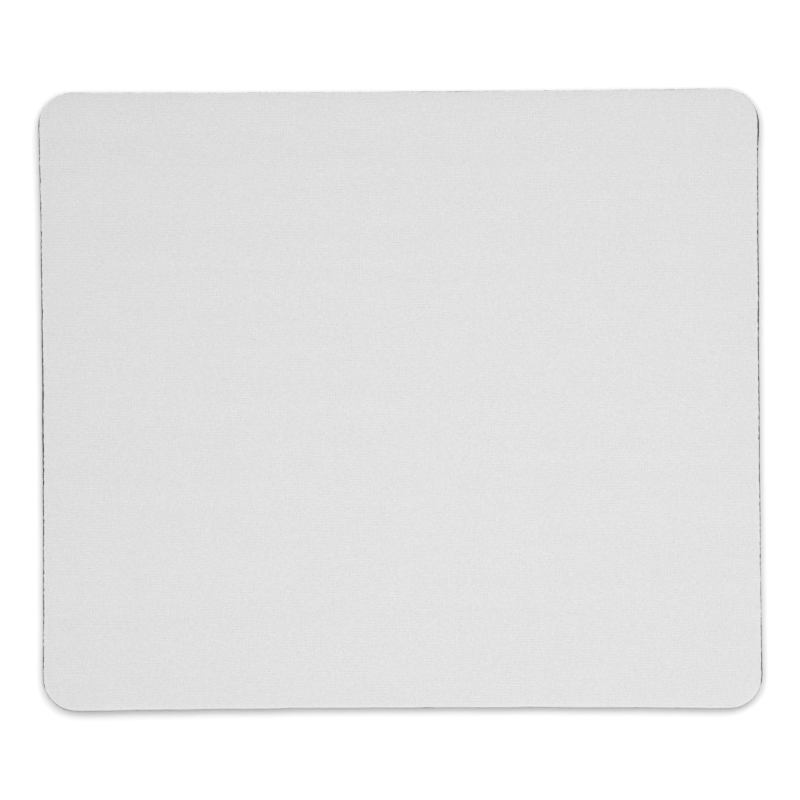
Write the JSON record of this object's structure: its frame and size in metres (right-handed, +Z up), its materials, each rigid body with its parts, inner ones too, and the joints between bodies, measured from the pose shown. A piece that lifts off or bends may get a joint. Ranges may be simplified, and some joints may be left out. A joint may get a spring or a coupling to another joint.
{
  "type": "mouse pad",
  "caption": "Flat rectangular mouse pad with rounded corners: white knitted cloth face bonded to a black sponge rubber base that grips the desk.",
  "frame": {"origin": "middle of the underside, on the desk", "axes": "+X along the long side, to the right of the person who uses it; +Y away from that person; +Z up, out of the cloth face"},
  "size_m": [0.22, 0.1892, 0.003],
  "materials": {
    "sponge_rubber": "matte black closed-cell sponge with a finely embossed non-slip underside",
    "adhesive_film": "clear hot-melt film",
    "knit_cloth": "matte white fine knit polyester"
  },
  "bodies": {
    "root": {"rubber_base": "sponge_rubber", "bond_film": "adhesive_film", "cloth_face": "knit_cloth"}
  },
  "joints": []
}
